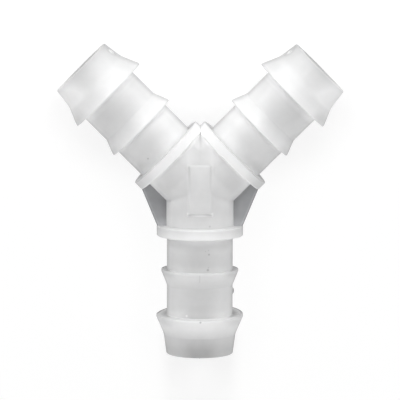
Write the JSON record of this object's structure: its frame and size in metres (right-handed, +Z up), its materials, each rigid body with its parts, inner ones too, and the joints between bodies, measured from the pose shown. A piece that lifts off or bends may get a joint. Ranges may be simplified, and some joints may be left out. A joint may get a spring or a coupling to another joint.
{
  "type": "tubing y connector",
  "caption": "Moulded plastic Y fitting that splits flow between soft hoses. Barbed round tails with stop collars leave a central hub braced by thin flat webs.",
  "frame": {"origin": "on the surface it lies on, under the middle of its outline", "axes": "+X across the arms, +Y from the stem's end towards the arms, +Z up, square to the plane of the Y"},
  "size_m": [0.0432, 0.0472, 0.0132],
  "materials": {
    "natural_plastic": "natural, milky and slightly translucent, satin as moulded"
  },
  "bodies": {
    "root": {"y_connector": "natural_plastic"}
  },
  "joints": []
}
